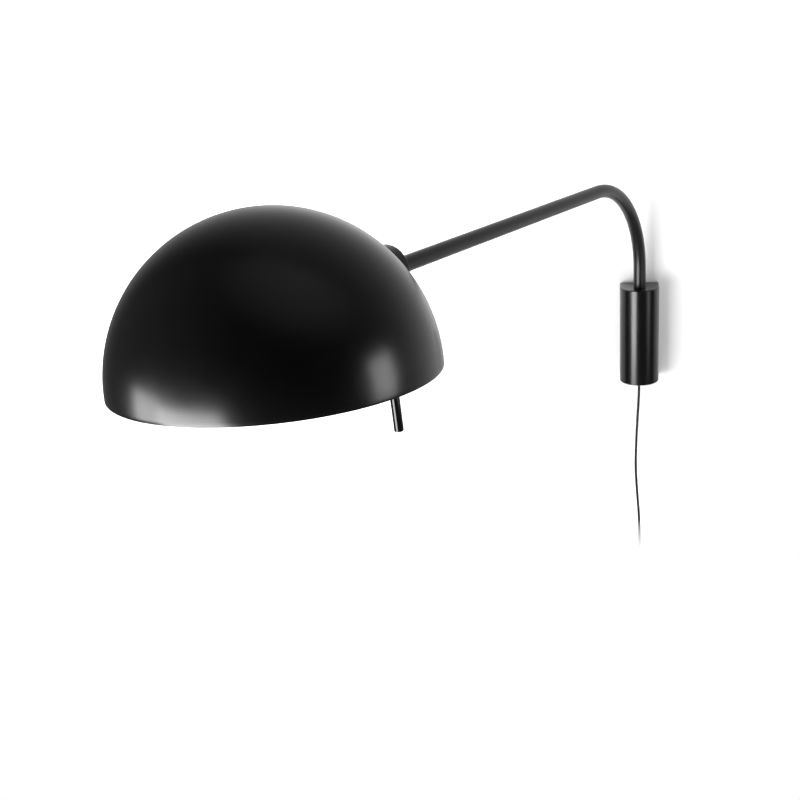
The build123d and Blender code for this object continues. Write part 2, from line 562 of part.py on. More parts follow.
def make_arm_end():
    """Bush, spindle with eye, and nut in the swivel's frame: +X along the arm, origin at the cross pivot."""
    mouth = -TUBE_END_GAP
    inner = mouth - END_BUSH_LENGTH
    bush = rod_x(TUBE_BORE - FIT, inner, mouth) - rod_x(SPINDLE_RADIUS + FIT, inner - CUT, mouth + CUT)
    screw_x = (mouth + inner) / 2
    bush -= rod_z(BUSH_SCREW_RADIUS + FIT, -TUBE_RADIUS, 0, screw_x)
    keep("arm_end_bush", bush, ARM_END_FRAME)
    screw = rod_z(BUSH_SCREW_RADIUS, -TUBE_RADIUS + FIT, -SPINDLE_RADIUS - 2 * FIT, screw_x)
    keep("bush_screw", screw, ARM_END_FRAME)
    nut_inner = inner - THRUST_GAP - SPINDLE_NUT_LENGTH
    shoulder_end = mouth + THRUST_GAP + SHOULDER_THICKNESS
    half = EYE_THICKNESS / 2
    spindle = rod_x(SPINDLE_RADIUS, nut_inner, shoulder_end)
    spindle += rod_x(TUBE_RADIUS, mouth + THRUST_GAP, shoulder_end)
    spindle += block(shoulder_end, 0, -half, half, -EYE_RADIUS, EYE_RADIUS)
    spindle += rod_y(EYE_RADIUS, -half, half)
    spindle -= rod_y(PIVOT_RADIUS + FIT, -half - CUT, half + CUT)
    spindle -= rod_x(SPINDLE_BORE_RADIUS, nut_inner - CUT, -WIRE_EXIT)
    spindle -= rod_z(SPINDLE_BORE_RADIUS, 0, TUBE_RADIUS + CUT, -WIRE_EXIT)
    keep("swivel_spindle", spindle, SWIVEL_FRAME)
    nut = rod_x(SPINDLE_NUT_RADIUS, nut_inner, inner - THRUST_GAP)
    nut -= rod_x(SPINDLE_RADIUS + FIT, nut_inner - CUT, inner + CUT)
    keep("spindle_nut", nut, SWIVEL_FRAME)


# ---- hub ---------------------------------------------------------------------------------------------
def shade_ball(radius):
    return Sphere(radius).moved(Location((SHADE_OUT, 0, -SHADE_DROP)))


def hub_screw_places():
    step = 360.0 / HUB_SCREW_COUNT
    angles = [radians(90.0 + step * i) for i in range(HUB_SCREW_COUNT)]
    return [(HUB_SCREW_CIRCLE * cos(a), HUB_SCREW_CIRCLE * sin(a)) for a in angles]


def cap_screw_places():
    radius = (HUB_RADIUS + HUB_BORE_RADIUS) / 2
    return [(side * radius, 0) for side in (-1, 1)]


def make_hub_body():
    body = rod_x(HUB_RADIUS, HUB_CAP_FRONT, SHADE_OUT / 2) - shade_ball(SHADE_RADIUS)
    body -= rod_x(HUB_BORE_RADIUS, HUB_CAP_FRONT - CUT, HUB_BORE_FRONT)
    for side in (-1, 1):
        near, far = sorted((side * LUG_FACE, side * (HUB_BORE_RADIUS + HUB_WALL / 2)))
        body += rod_y(EYE_RADIUS, near, far)
    body -= rod_y(PIVOT_RADIUS + FIT, -HUB_RADIUS - CUT, HUB_RADIUS + CUT)
    for side in (-1, 1):
        near, far = sorted((side * (HUB_RADIUS - BOLT_RECESS), side * (HUB_RADIUS + CUT)))
        body -= rod_y(BOLT_HEAD_RADIUS + FIT, near, far)
    body -= rod_x(WIRE_HOLE_RADIUS, HUB_BORE_FRONT - CUT, SADDLE_FACE)
    for y, z in hub_screw_places():
        body -= rod_x(HUB_SCREW_RADIUS + FIT, HUB_SCREW_START - FIT, SADDLE_FACE, y, z)
    for y, z in cap_screw_places():
        body -= rod_x(CAP_SCREW_RADIUS + FIT, HUB_CAP_FRONT - CUT, CAP_SCREW_LENGTH - HUB_BACK + FIT, y, z)
    body -= hub_spigot_hole()
    keep("hub_body", body, HEAD_FRAME)


def hub_spigot_hole():
    """Hole in the hub's lower wall for the dimmer housing's spigot."""
    hole = rod_z(SPIGOT_RADIUS + FIT, (HUB_BORE_RADIUS + EYE_RADIUS) / 2, HUB_RADIUS + CUT)
    return hole.moved(Location((0, 0, 0), (0, 180.0 + ROD_LEAN, 0)))


def make_hub_cap():
    """Disc that closes the hub, slotted so that the arm can tilt in it."""
    cap = rod_x(HUB_RADIUS, -HUB_BACK, HUB_CAP_FRONT)
    cap = fillet(cap.faces().sort_by(Axis.X)[0].edges(), HUB_CAP_ROUND)
    half_width = TUBE_RADIUS + HUB_SLOT_SIDE_GAP
    limit = radians(TILT_LIMIT)
    half_height = HUB_BACK * tan(limit) + TUBE_RADIUS / cos(limit) + HUB_SLOT_END_GAP
    centre = half_height - half_width
    cap -= block(-HUB_BACK - CUT, HUB_CAP_FRONT + CUT, -half_width, half_width, -centre, centre)
    for side in (-1, 1):
        cap -= rod_x(half_width, -HUB_BACK - CUT, HUB_CAP_FRONT + CUT, 0, side * centre)
    screws = None
    for y, z in cap_screw_places():
        cap -= rod_x(CAP_SCREW_RADIUS + FIT, -HUB_BACK - CUT, HUB_CAP_FRONT + CUT, y, z)
        screw = rod_x(CAP_SCREW_RADIUS, THRUST_GAP - HUB_BACK, CAP_SCREW_LENGTH - HUB_BACK, y, z)
        screws = screw if screws is None else screws + screw
    keep("hub_cap", cap, HEAD_FRAME)
    keep("hub_cap_screws", screws, HEAD_FRAME)


def make_tilt_pivot():
    """Bolt and nut across the hub, with a friction washer each side of the eye."""
    seat = HUB_RADIUS - BOLT_RECESS
    bolt = rod_y(PIVOT_RADIUS, -seat, seat + BOLT_HEAD_HEIGHT)
    head = -seat - BOLT_HEAD_HEIGHT
    bolt += rod_y(BOLT_HEAD_RADIUS, head, -seat)
    bolt -= socket_y(BOLT_SOCKET, head - CUT, head + BOLT_SOCKET_DEPTH)
    keep("tilt_bolt", bolt, HEAD_FRAME)
    nut = rod_y(BOLT_HEAD_RADIUS, seat, seat + BOLT_HEAD_HEIGHT)
    nut -= rod_y(PIVOT_RADIUS + FIT, seat - CUT, seat + BOLT_HEAD_HEIGHT + CUT)
    keep("tilt_nut", nut, HEAD_FRAME)
    washers = None
    for side in (-1, 1):
        inner = EYE_THICKNESS / 2 + THRUST_GAP
        near, far = sorted((side * inner, side * (inner + TILT_WASHER_THICKNESS)))
        washer = rod_y(EYE_RADIUS, near, far) - rod_y(PIVOT_RADIUS + FIT, near - CUT, far + CUT)
        washers = washer if washers is None else washers + washer
    keep("tilt_washers", washers, HEAD_FRAME)


# ---- shade and light source --------------------------------------------------------------------------
def make_shade():
    shell = shade_ball(SHADE_RADIUS) - shade_ball(SHADE_INSIDE)
    reach = SHADE_RADIUS + CUT
    shell -= block(SHADE_OUT - reach, SHADE_OUT + reach, -reach, reach, -SHADE_DROP - reach, -SHADE_DROP)
    shell -= rod_x(WIRE_HOLE_RADIUS, 0, SADDLE_FACE)
    for y, z in hub_screw_places():
        shell -= rod_x(HUB_SCREW_RADIUS + FIT, 0, SADDLE_FACE, y, z)
    keep("shade", shell, HEAD_FRAME)


def make_saddle():
    """Cast plate inside the shade: its back follows the shade, its front is a flat face for the strip."""
    saddle = rod_x(SADDLE_RADIUS, 0, SADDLE_FACE) & shade_ball(SHADE_INSIDE)
    saddle -= rod_x(WIRE_HOLE_RADIUS, 0, SADDLE_FACE + CUT)
    screws = None
    for y, z in hub_screw_places():
        saddle -= rod_x(HUB_SCREW_RADIUS + FIT, 0, SADDLE_FACE + CUT, y, z)
        screw = rod_x(HUB_SCREW_RADIUS, HUB_SCREW_START, SADDLE_FACE, y, z)
        head = SADDLE_FACE + HUB_HEAD_HEIGHT
        screw += rod_x(HUB_HEAD_RADIUS, SADDLE_FACE, head, y, z)
        screw -= socket_x(HUB_SOCKET, head - HUB_SOCKET_DEPTH, head + CUT, y, z)
        screws = screw if screws is None else screws + screw
    for side in (-1, 1):
        y = side * BRACKET_SCREW_Y
        depth = SADDLE_FACE - 2 * SMALL_SCREW_RADIUS - THRUST_GAP
        saddle -= rod_x(SMALL_SCREW_RADIUS + FIT, depth, SADDLE_FACE + CUT, y, BRACKET_SCREW_Z)
    keep("saddle_plate", saddle, HEAD_FRAME)
    keep("hub_screws", screws, HEAD_FRAME)


def make_strip():
    """Bent strip from the saddle to the middle of the shade, and its two screws."""
    half = STRIP_WIDTH / 2
    face = SADDLE_FACE + STRIP_THICKNESS
    strip = block(SADDLE_FACE, face, -half, half, STRIP_FLANGE_BOTTOM, STRIP_TOP)
    strip += block(face, SHADE_OUT + STRIP_PAST_CENTRE, -half, half, STRIP_TOP - STRIP_THICKNESS, STRIP_TOP)
    strip -= rod_x(WIRE_HOLE_RADIUS, SADDLE_FACE - CUT, face + CUT)
    for y, z in hub_screw_places():
        end = SADDLE_FACE + HUB_HEAD_HEIGHT + CUT
        strip -= rod_x(HUB_HEAD_RADIUS + WALL_EPS, SADDLE_FACE - CUT, end, y, z)
    strip -= rod_z(SMALL_SCREW_RADIUS + FIT, STRIP_TOP - STRIP_THICKNESS - CUT, STRIP_TOP + CUT, SHADE_OUT)
    screws = None
    for side in (-1, 1):
        y = side * BRACKET_SCREW_Y
        strip -= rod_x(SMALL_SCREW_RADIUS + FIT, SADDLE_FACE - CUT, face + CUT, y, BRACKET_SCREW_Z)
        screw = rod_x(SMALL_SCREW_RADIUS, SADDLE_FACE - 2 * SMALL_SCREW_RADIUS, face, y, BRACKET_SCREW_Z)
        head = face + SMALL_HEAD_HEIGHT
        screw += rod_x(SMALL_HEAD_RADIUS, face, head, y, BRACKET_SCREW_Z)
        screw -= socket_x(SMALL_SOCKET, head - SMALL_SOCKET_DEPTH, head + CUT, y, BRACKET_SCREW_Z)
        screws = screw if screws is None else screws + screw
    keep("led_bracket", strip, HEAD_FRAME)
    keep("bracket_screws", screws, HEAD_FRAME)
    sink_screw = rod_z(SMALL_SCREW_RADIUS, SINK_BOTTOM + SINK_BASE / 2, STRIP_TOP, SHADE_OUT)
    head = STRIP_TOP + SMALL_HEAD_HEIGHT
    sink_screw += rod_z(SMALL_HEAD_RADIUS, STRIP_TOP, head, SHADE_OUT)
    sink_screw -= socket_z(SMALL_SOCKET, head - SMALL_SOCKET_DEPTH, head + CUT, SHADE_OUT)
    keep("sink_screw", sink_screw, HEAD_FRAME)


def make_light_source():
    """Finned heat sink under the strip, the light board on its underside and the opal cover round it."""
    half = STRIP_WIDTH / 2
    disc = rod_z(SINK_RADIUS, SINK_BOTTOM, SINK_TOP, SHADE_OUT)
    sink = rod_z(SINK_RADIUS, SINK_BOTTOM, SINK_BOTTOM + SINK_BASE, SHADE_OUT)
    sink += disc & block(SHADE_OUT - SINK_RADIUS, SHADE_OUT + SINK_RADIUS, -half, half, SINK_BOTTOM, SINK_TOP)
    for i in range(SINK_FIN_COUNT):
        y = (i - (SINK_FIN_COUNT - 1) / 2) * SINK_FIN_PITCH
        fin = block(
            SHADE_OUT - SINK_RADIUS,
            SHADE_OUT + SINK_RADIUS,
            y - SINK_FIN_THICKNESS / 2,
            y + SINK_FIN_THICKNESS / 2,
            SINK_BOTTOM,
            SINK_TOP,
        )
        sink += disc & fin
    sink -= rod_z(SMALL_SCREW_RADIUS + FIT, SINK_BOTTOM + SINK_BASE / 2 - FIT, SINK_TOP + CUT, SHADE_OUT)
    wire_end = SHADE_OUT - SINK_RADIUS + SINK_RADIUS / 3
    sink -= rod_x(WIRE_RADIUS + FIT, 0, wire_end + FIT)
    keep("heat_sink", sink, HEAD_FRAME)
    keep("hub_wire", rod_x(WIRE_RADIUS, HUB_BORE_FRONT + THRUST_GAP, wire_end), HEAD_FRAME)
    board = rod_z(BOARD_RADIUS, SINK_BOTTOM - BOARD_THICKNESS, SINK_BOTTOM, SHADE_OUT)
    keep("led_board", board, HEAD_FRAME)
    cover = rod_z(SINK_RADIUS, SINK_BOTTOM - DIFFUSER_HEIGHT, SINK_BOTTOM, SHADE_OUT)
    cover = fillet(cover.faces().sort_by(Axis.Z)[0].edges(), DIFFUSER_WALL)
    inner_face = SINK_BOTTOM - DIFFUSER_HEIGHT + DIFFUSER_WALL
    cover -= rod_z(SINK_RADIUS - DIFFUSER_WALL, inner_face, SINK_BOTTOM + CUT, SHADE_OUT)
    keep("diffuser", cover, HEAD_FRAME)


# ---- rod and dimmer, in the rod's frame: +Z down along the rod, origin at the pivot ------------------
def make_dimmer():
    hub = rod_x(HUB_RADIUS, -HUB_RADIUS, HUB_RADIUS).moved(Location((0, 0, 0), (0, -180.0 - ROD_LEAN, 0)))
    housing = rod_z(HOUSING_RADIUS, 0, HOUSING_END) - hub
    housing = housing.solids().sort_by(Axis.Z)[-1]
    housing += rod_z(SPIGOT_RADIUS, SPIGOT_TOP, HUB_RADIUS + HOUSING_WALL)
    core_radius = ROD_BUSH_RADIUS - FIT
    core_end = CORE_TOP + CORE_LENGTH
    housing -= rod_z(ROD_BUSH_RADIUS, CORE_TOP, HOUSING_END + CUT)
    keep("dimmer_housing", housing, ROD_FRAME)
    core = rod_z(core_radius, CORE_TOP, core_end)
    core -= rod_z(STUB_RADIUS + FIT, core_end - CORE_BORE_DEPTH, core_end + CUT)
    keep("dimmer_core", core, ROD_FRAME)
    bush = rod_z(core_radius, HOUSING_END - ROD_BUSH_LENGTH, HOUSING_END)
    bush += rod_z(HOUSING_RADIUS, HOUSING_END, HOUSING_END + ROD_BUSH_FLANGE)
    bush -= rod_z(ROD_RADIUS + FIT, HOUSING_END - ROD_BUSH_LENGTH - CUT, HOUSING_END + ROD_BUSH_FLANGE + CUT)
    keep("rod_bush", bush, ROD_FRAME)
    rod = rod_z(ROD_RADIUS, core_end + THRUST_GAP, ROD_END)
    rod = fillet(rod.faces().sort_by(Axis.Z)[-1].edges(), ROD_END_ROUND)
    rod += rod_z(STUB_RADIUS, core_end - CORE_BORE_DEPTH + THRUST_GAP, core_end + CUT)
    keep("dimmer_rod", rod, ROD_FRAME)


# ---- free lead, coil, tie and plug -------------------------------------------------------------------
def coil_point(turn, centre):
    """Centre line of the coil. turn counts from the right-hand side, downwards first."""
    span = COIL_TURNS + 0.5
    layer = min(int(turn / span), COIL_LAYERS - 1)
    into = turn - layer * span
    inward = layer % 2 == 0
    last = layer == COIL_LAYERS - 1
    wound = into if last else min(into, COIL_TURNS)
    radius = COIL_OUTER - COIL_PITCH * wound if inward else COIL_INNER + COIL_PITCH * wound
    climb = 0.0 if last else max(0.0, into - COIL_TURNS) * 2
    rise = layer + (1 - cos(pi * climb)) / 2
    angle = -2 * pi * turn
    return centre + Vector(radius * cos(angle), COIL_PITCH * rise, radius * sin(angle))


def biarc(start, start_dir, end, end_dir):
    """Two tangent arcs from one point and direction to another."""
    chord = end - start
    both = start_dir + end_dir
    spread = 2 * (1 - start_dir.dot(end_dir))
    along = chord.dot(both)
    reach = (sqrt(along * along + spread * chord.dot(chord)) - along) / spread
    joint = (start + end) * 0.5 + (start_dir - end_dir) * (reach / 2)
    joint_dir = ((end - end_dir * reach) - (start + start_dir * reach)).normalized()
    return [TangentArc(start, joint, tangent=start_dir), TangentArc(joint, end, tangent=joint_dir)]


def coil_path(centre):
    """The coil's centre line as biarcs of a quarter turn, with a straight end at each side."""
    total = COIL_LAYERS * (COIL_TURNS + 0.5)
    count = round(total * 4)
    step = total / count
    tiny = 1e-4
    points = [coil_point(i * step, centre) for i in range(count + 1)]
    dirs = []
    for i in range(count + 1):
        ahead = coil_point(min(i * step + tiny, total), centre)
        behind = coil_point(max(i * step - tiny, 0), centre)
        dirs.append((ahead - behind).normalized())
    down = Vector(0, 0, -1)
    dirs[0] = down
    dirs[-1] = down
    edges = [Line(points[0] - down * COIL_END_STRAIGHT, points[0])]
    for i in range(count):
        edges += biarc(points[i], dirs[i], points[i + 1], dirs[i + 1])
    edges.append(Line(points[-1], points[-1] + down * COIL_END_STRAIGHT))
    return edges, points


def least_self_gap(points, centre):
    """Least clear gap between turns of the coil, measured on points of its centre line."""
    total = COIL_LAYERS * (COIL_TURNS + 0.5)
    per_turn = 48
    line = [coil_point(i / per_turn, centre) for i in range(int(total * per_turn) + 1)]
    least = min(
        (line[i] - line[j]).length
        for i in range(len(line))
        for j in range(i + per_turn // 2, len(line))
    )
    return least - 2 * LEAD_RADIUS


def make_lead():
    last = Vector(*LEAD_POINTS[-1])
    coil_start = last - Vector(0, 0, COIL_TOP_TO_ROUTE)
    centre = coil_start - Vector(COIL_OUTER, 0, COIL_END_STRAIGHT)
    points = [(0, AXIS_Y, BOTTOM_Z)] + LEAD_POINTS + [(coil_start.X, coil_start.Y, coil_start.Z)]
    radii = fillet_radii(points)
    path = FilletPolyline(*points, radius=radii)
    lead = tube_along(path, LEAD_RADIUS)
    keep("lead", lead)
    section = pi * LEAD_RADIUS**2
    print("lead radii", [round(r) for r in radii])
    print("lead volume over section x length", round(lead.volume / (section * path.length), 5))

    edges, marks = coil_path(centre)
    route = Wire(edges)
    coil = tube_along(route, LEAD_RADIUS)
    keep("lead_coil", coil)
    print("coil length", round(route.length))
    print("coil volume over section x length", round(coil.volume / (section * route.length), 5))
    print("coil least gap to itself", round(least_self_gap(marks, centre), 2))

    tail_start = marks[-1] - Vector(0, 0, COIL_END_STRAIGHT)
    tail_end = tail_start - Vector(0, 0, TAIL_LENGTH)
    keep("lead_tail", rod_z(LEAD_RADIUS, tail_end.Z, tail_start.Z, tail_end.X, tail_end.Y))
    print("lead length in all", round(path.length + route.length + TAIL_LENGTH))
    make_tie(centre)
    make_plug(tail_end)


def make_tie(centre):
    """Band round all the turns on the coil's left side."""
    half = TIE_WIDTH / 2
    inner = sqrt(COIL_INNER**2 - half**2) - LEAD_RADIUS - TIE_CLEARANCE
    outer = COIL_OUTER + LEAD_RADIUS + TIE_CLEARANCE
    low = -LEAD_RADIUS - TIE_CLEARANCE
    high = (COIL_LAYERS - 1) * COIL_PITCH + LEAD_RADIUS + TIE_CLEARANCE
    hole = block(-outer, -inner, low, high, -half - CUT, half + CUT)
    band = block(-outer - TIE_WALL, -inner + TIE_WALL, low - TIE_WALL, high + TIE_WALL, -half, half)
    band = fillet(band.edges().filter_by(Axis.Z), TIE_WALL)
    keep("lead_tie", (band - hole).moved(Location(centre)))


def make_plug(top):
    """Plug-in supply that hangs on the tail: tapered sleeve, body and two pins."""
    on_base = (Align.CENTER, Align.CENTER, Align.MIN)
    sleeve = Cone(SLEEVE_BASE_RADIUS, SLEEVE_TOP_RADIUS, SLEEVE_LENGTH, align=on_base)
    sleeve = sleeve.moved(Location((0, 0, -SLEEVE_LENGTH)))
    body = block(
        -PLUG_WIDTH / 2,
        PLUG_WIDTH / 2,
        -PLUG_DEPTH / 2,
        PLUG_DEPTH / 2,
        -SLEEVE_LENGTH - PLUG_HEIGHT,
        -SLEEVE_LENGTH,
    )
    body = fillet(body.edges(), PLUG_ROUND)
    keep("plug_sleeve", sleeve.moved(Location(top)))
    pins = None
    for side in (-1, 1):
        x = side * PIN_SPACING / 2
        end = -SLEEVE_LENGTH - PLUG_HEIGHT - PIN_LENGTH
        pin = rod_z(PIN_RADIUS, end, -SLEEVE_LENGTH - PLUG_HEIGHT, x)
        pin = fillet(pin.faces().sort_by(Axis.Z)[0].edges(), PIN_RADIUS / 2)
        pins = pin if pins is None else pins + pin
    keep("plug_body", body.moved(Location(top)))
    keep("plug_pins", pins.moved(Location(top)))


make_bracket_shell()
make_caps()
make_wall_plate()
make_bearing_block()
make_bushes()
make_tab_screws()
make_terminal_and_wires()
make_lead_clamp()
make_arm_tube()
make_collar()
make_arm_end()
make_hub_body()
make_hub_cap()
make_tilt_pivot()
make_shade()
make_saddle()
make_strip()
make_light_source()
make_dimmer()
make_lead()

os.makedirs("parts", exist_ok=True)
for node, solid in PARTS.items():
    export_step(solid, f"parts/{node}.step")
print(len(PARTS), "nodes")
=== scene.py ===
from math import cos, pi, radians, sin

import bmesh
import bpy
from mathutils import Matrix, Vector


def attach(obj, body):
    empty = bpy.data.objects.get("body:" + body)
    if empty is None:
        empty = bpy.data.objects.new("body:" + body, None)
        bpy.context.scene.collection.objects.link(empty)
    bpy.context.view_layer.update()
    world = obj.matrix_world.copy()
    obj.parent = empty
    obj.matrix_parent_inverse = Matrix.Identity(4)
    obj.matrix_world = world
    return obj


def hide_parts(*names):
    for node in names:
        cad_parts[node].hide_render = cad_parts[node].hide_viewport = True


# The whole lamp: everything here is in metres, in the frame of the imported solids. The wall is the plane
# Y = 0, the room is towards -Y, and the origin is the middle of the bracket's back.
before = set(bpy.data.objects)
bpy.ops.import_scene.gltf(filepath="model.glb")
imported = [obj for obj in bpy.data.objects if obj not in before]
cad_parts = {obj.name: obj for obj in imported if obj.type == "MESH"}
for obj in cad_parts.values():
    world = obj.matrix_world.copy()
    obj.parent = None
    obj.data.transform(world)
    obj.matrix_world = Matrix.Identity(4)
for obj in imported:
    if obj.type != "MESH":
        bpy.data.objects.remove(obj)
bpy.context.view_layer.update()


# ---- camera -------------------------------------------------------------------------------------------
# The photograph's camera, solved from the lamp's edges in it. It stands a metre and a half in front of the
# wall, above the shade, and is turned a little to the left and down.
camera_data = bpy.data.cameras.new("camera")
camera_data.lens = 50.293
camera_data.sensor_width = 36.0
camera_data.clip_end = 60.0
camera = bpy.data.objects.new("camera", camera_data)
bpy.context.scene.collection.objects.link(camera)
camera_right = Vector((0.98297854, 0.1720762, -0.06436593))
camera_up = Vector((0.00445685, 0.32790948, 0.94469863))
camera_back = camera_right.cross(camera_up)
camera_turn = Matrix((camera_right, camera_up, camera_back)).transposed().to_4x4()
camera_place = (-0.0410078, -1.5140817, 0.4224919)
camera.matrix_world = Matrix.Translation(camera_place) @ camera_turn
bpy.context.scene.camera = camera
bpy.context.scene.view_settings.view_transform = "Standard"


# ---- wall bracket -------------------------------------------------------------------------------------
# A D-section housing with a cap at each end, powder coated. The caps' edges are chamfered, so that a thin
# dark line shows where each meets the housing. Inside are a steel plate that is screwed to the wall, a cast
# block that the arm turns in, the terminal and the lead's clamp.
mm = 0.001


def linear(hex_colour):
    """A #rrggbb colour as the shader's linear one."""
    parts = [int(hex_colour[i : i + 2], 16) / 255 for i in (1, 3, 5)]
    return [p / 12.92 if p <= 0.04045 else ((p + 0.055) / 1.055) ** 2.4 for p in parts] + [1.0]


def add(tree, kind, settings=None, **links):
    """One node with its settings, and a link or a value for each input, by name or as i0, i1 and so on."""
    new = tree.nodes.new(kind)
    for key, value in (settings or {}).items():
        setattr(new, key, value)
    for key, value in links.items():
        by_number = key[0] == "i" and key[1:].isdigit()
        socket = new.inputs[int(key[1:])] if by_number else new.inputs[key.replace("_", " ")]
        if isinstance(value, bpy.types.NodeSocket):
            tree.links.new(value, socket)
        else:
            socket.default_value = value
    return new


def finish(name, colour, roughness, grain_mm, grain_depth, metallic=0.0, worn=0.06, patch_mm=40.0):
    """A finish with a fine grain in its bump, grain_depth mm deep, and a slow drift in its gloss. The
    patterns are in millimetres on Object coordinates, so they stay with their piece."""
    glossiest = 0.02
    noise_low, noise_high = 0.3, 0.7
    material = bpy.data.materials.new(name)
    material.use_nodes = True
    tree = material.node_tree
    tree.nodes.clear()
    place = add(tree, "ShaderNodeTexCoord").outputs["Object"]
    grains, patches = 1 / (grain_mm * mm), 1 / (patch_mm * mm)
    grain = add(tree, "ShaderNodeTexNoise", Vector=place, Scale=grains, Detail=3.0, Roughness=0.6)
    drift = add(tree, "ShaderNodeTexNoise", Vector=place, Scale=patches, Detail=4.0, Roughness=0.55)
    gloss = add(
        tree,
        "ShaderNodeMapRange",
        i0=drift.outputs["Fac"],
        i1=noise_low,
        i2=noise_high,
        i3=max(glossiest, roughness - worn),
        i4=roughness + worn,
    )
    bump = add(tree, "ShaderNodeBump", Height=grain.outputs["Fac"], Strength=1.0, Distance=grain_depth * mm)
    shader = add(
        tree,
        "ShaderNodeBsdfPrincipled",
        Roughness=gloss.outputs["Result"],
        Metallic=metallic,
        Normal=bump.outputs["Normal"],
    )
    shader.inputs["Base Color"].default_value = linear(colour)
    add(tree, "ShaderNodeOutputMaterial", Surface=shader.outputs["BSDF"])
    return material


# One tree smooths all the solids: their loose triangles are joined, and edges under sharp_deg shade as round.
weld_gap = 0.002 * mm
sharp_deg = 35
smooth_tree = bpy.data.node_groups.new("smooth_round_faces", "GeometryNodeTree")
smooth_tree.interface.new_socket("Geometry", in_out="INPUT", socket_type="NodeSocketGeometry")
smooth_tree.interface.new_socket("Geometry", in_out="OUTPUT", socket_type="NodeSocketGeometry")
smooth_in = add(smooth_tree, "NodeGroupInput")
joined = add(smooth_tree, "GeometryNodeMergeByDistance", Geometry=smooth_in.outputs[0], Distance=weld_gap)
edge_turn = add(smooth_tree, "GeometryNodeInputMeshEdgeAngle")
sharp_edge = add(
    smooth_tree,
    "FunctionNodeCompare",
    {"data_type": "FLOAT", "operation": "GREATER_THAN"},
    i0=edge_turn.outputs["Unsigned Angle"],
    i1=radians(sharp_deg),
)
round_faces = add(
    smooth_tree, "GeometryNodeSetShadeSmooth", {"domain": "FACE"}, Geometry=joined.outputs["Geometry"]
)
round_faces.inputs["Shade Smooth"].default_value = True
crisp_edges = add(
    smooth_tree,
    "GeometryNodeSetShadeSmooth",
    {"domain": "EDGE"},
    Geometry=round_faces.outputs["Geometry"],
    Selection=sharp_edge.outputs["Result"],
)
crisp_edges.inputs["Shade Smooth"].default_value = False
add(smooth_tree, "NodeGroupOutput", Geometry=crisp_edges.outputs["Geometry"])


def paint(material, *node_names):
    """Give solids their finish, join their triangles and smooth their round faces. Their shape stays."""
    for node_name in node_names:
        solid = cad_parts[node_name]
        solid.data.materials.clear()
        solid.data.materials.append(material)
        smoothing = solid.modifiers.new("smooth_round_faces", "NODES")
        smoothing.node_group = smooth_tree


# Satin powder coat: black, with the faint orange peel of a baked coat, about 0.7 mm from crest to crest.
powder_coat = finish("satin_black_powder_coat", "#050505", 0.25, grain_mm=0.7, grain_depth=0.004, worn=0.02)
# Zinc-plated steel: grey with the cloudy gloss of a barrel-plated part.
zinc_steel = finish(
    "zinc_plated_steel", "#b9bab8", 0.34, metallic=1.0, grain_mm=0.4, grain_depth=0.006, patch_mm=6.0
)
# Cast aluminium, shot blasted: a matt skin with pits about half a millimetre apart.
cast_aluminium = finish(
    "blasted_cast_aluminium", "#a9abad", 0.5, metallic=1.0, grain_mm=0.5, grain_depth=0.03
)
# Natural acetal, moulded: milky, slightly waxy.
acetal = finish("moulded_natural_acetal", "#dcdcd2", 0.38, grain_mm=0.8, grain_depth=0.008)
# Soft PVC: black, dull, with the drawn skin of an extruded sheath.
soft_pvc = finish("extruded_black_pvc", "#040404", 0.55, grain_mm=0.35, grain_depth=0.01)
# Grey PVC on the inner wires.
grey_pvc = finish("extruded_grey_pvc", "#3c3c3e", 0.45, grain_mm=0.35, grain_depth=0.008)

paint(powder_coat, "bracket_shell", "bracket_top_cap", "bracket_bottom_cap")
paint(zinc_steel, "wall_plate", "block_screws", "stop_pin", "cap_screws", "clamp_screws")
paint(zinc_steel, "retaining_collar", "collar_screw")
paint(cast_aluminium, "bearing_block")
paint(acetal, "upper_bush", "lower_bush", "friction_washer", "terminal_block", "lead_clamp")
paint(soft_pvc, "lead_bush", "inner_lead")
paint(grey_pvc, "bracket_wire")


# ---- arm ----------------------------------------------------------------------------------------------
# One length of drawn steel tube: upright out of the bracket, bent through a right angle and run out to the
# hub. Here a Geometry Nodes tree gives its round section and its wall to a path. In its far end sits a plain
# bush with the steel spindle that carries the hub.
swing_axis_y = -25 * mm
swing_deg = -26.3
droop_deg = 0.8
tube_radius = 8.0 * mm
tube_wall = 1.5 * mm
tube_foot = -18 * mm
upright_point = 60 * mm
bend_radius = 120 * mm
bend_start = 89.5 * mm
bend_steps = 72
reach = 438.7 * mm
tube_end_gap = 11 * mm
tube_sides = 48
arm_turn = Matrix.Rotation(radians(-90 + swing_deg), 4, "Z")
arm_frame = Matrix.Translation((0, swing_axis_y, 0)) @ arm_turn
bend_angle = radians(90 + droop_deg)
# The bracket's coat again, a little less glossy. Its lighter colour is painted light, for the arm's brighter
# sheen.
tube_coat_painted_lighter = finish("satin_black_coat_painted_lighter_on_tube", "#131313", 0.35, grain_mm=0.7, grain_depth=0.004, worn=0.03)


def plain_mesh(obj, name, material):
    """The evaluated shape of an object as a mesh object of its own at the origin."""
    bpy.context.view_layer.update()
    evaluated = obj.evaluated_get(bpy.context.evaluated_depsgraph_get())
    mesh = bpy.data.meshes.new_from_object(evaluated)
    mesh.name = name
    mesh.transform(obj.matrix_world)
    mesh.materials.clear()
    mesh.materials.append(material)
    made = bpy.data.objects.new(name, mesh)
    bpy.context.scene.collection.objects.link(made)
    bpy.data.objects.remove(obj)
    return made


def line_object(name, points):
    """A bare line of points as a curve object."""
    data = bpy.data.curves.new(name, "CURVE")
    data.dimensions = "3D"
    spline = data.splines.new("POLY")
    spline.points.add(len(points) - 1)
    for point, place in zip(spline.points, points):
        point.co = (*place, 1.0)
    obj = bpy.data.objects.new(name, data)
    bpy.context.scene.collection.objects.link(obj)
    return obj


